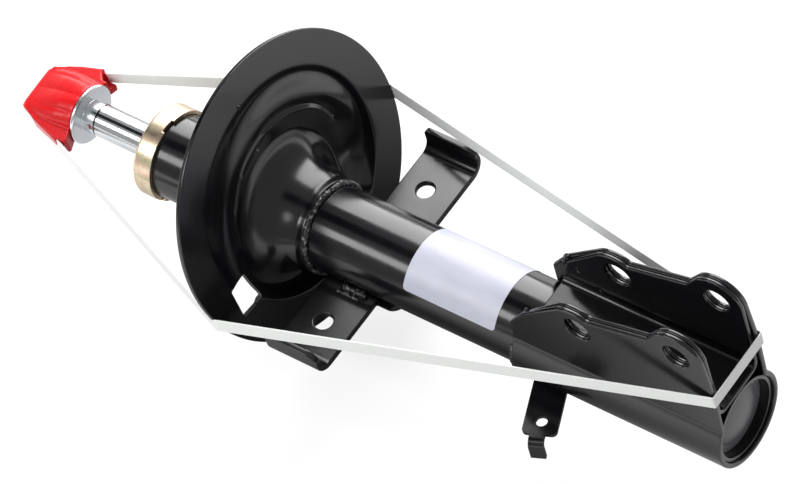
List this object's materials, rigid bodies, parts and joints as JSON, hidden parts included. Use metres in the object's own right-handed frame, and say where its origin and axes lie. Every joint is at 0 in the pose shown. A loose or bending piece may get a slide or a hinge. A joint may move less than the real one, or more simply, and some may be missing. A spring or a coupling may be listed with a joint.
{
  "type": "suspension strut assembly",
  "caption": "Front suspension strut, nearly closed and strapped for transport, with an off-centre spring seat, knuckle ears, a link bracket with two wings, and a cap on its stud.",
  "frame": {"origin": "centre of the lower knuckle bolt hole, midway between the two ears", "axes": "+X along the strut's axis from the rod end to the knuckle end, +Y across the ears along the knuckle bolt holes, away from the hose bracket's side, +Z the way the knuckle ears stand up from the tube"},
  "size_m": [0.4956, 0.1837, 0.1745],
  "materials": {
    "black_paint": "satin dip paint",
    "black_weld": "painted weld metal",
    "bare_steel": "plain",
    "sintered_iron": "sintered",
    "bearing_bronze": "plain bush",
    "seal_rubber": "matt",
    "buffer_plastic": "matt",
    "band_plastic": "matt",
    "chrome_rod": "ground and hard chromed",
    "bright_zinc": "bright zinc plated",
    "yellow_zinc": "yellow passivated zinc",
    "red_plastic": "semi-matt moulded",
    "strap_plastic": "translucent white strapping",
    "label_film": "bare silvery film, nothing printed"
  },
  "bodies": {
    "strut_tube": {"outer_tube": "black_paint", "base_cap": "black_paint", "inner_cylinder": "bare_steel", "base_valve_body": "sintered_iron", "base_valve_bolt": "bare_steel", "rod_guide": "sintered_iron", "guide_bush": "bearing_bronze", "rod_seal": "seal_rubber", "closing_ring": "bare_steel", "bump_stop_cap": "yellow_zinc", "knuckle_bracket": "black_paint", "knuckle_channel": "black_paint", "knuckle_weld": "black_weld", "channel_welds": "black_weld", "stabiliser_bracket": "black_paint", "stabiliser_welds": "black_weld", "spring_seat": "black_paint", "seat_weld": "black_weld", "hose_bracket": "black_paint", "hose_bracket_weld": "black_weld", "label": "label_film", "transport_strap": "strap_plastic"},
    "slider": {"transport_cap": "red_plastic", "piston_band": "band_plastic"},
    "rod": {"piston_rod": "chrome_rod", "support_washer": "bare_steel", "piston": "sintered_iron", "piston_discs": "bare_steel", "piston_nut": "bare_steel", "rebound_stop": "bare_steel", "rebound_buffer": "buffer_plastic", "top_spacer": "bright_zinc"},
    "base_plate": {"base_check_plate": "bare_steel"},
    "piston_plate": {"piston_check_plate": "bare_steel"}
  },
  "joints": [
    {"name": "rod_slide", "type": "slide", "parent": "strut_tube", "child": "slider", "axis": [-1, 0, 0], "range_m": [-0.018, 0.15], "deforming": ["transport_strap"]},
    {"name": "rod_turn", "type": "hinge", "parent": "slider", "child": "rod", "pos_m": [-0.23, 0, -0.0765], "axis": [-1, 0, 0], "continuous": true},
    {"name": "base_plate_lift", "type": "slide", "parent": "strut_tube", "child": "base_plate", "axis": [-1, 0, 0], "range_m": [0, 0.001], "stiffness_N_per_m": 400, "springref_m": -0.001},
    {"name": "piston_plate_lift", "type": "slide", "parent": "rod", "child": "piston_plate", "axis": [-1, 0, 0], "range_m": [0, 0.001], "stiffness_N_per_m": 400, "springref_m": -0.001}
  ]
}
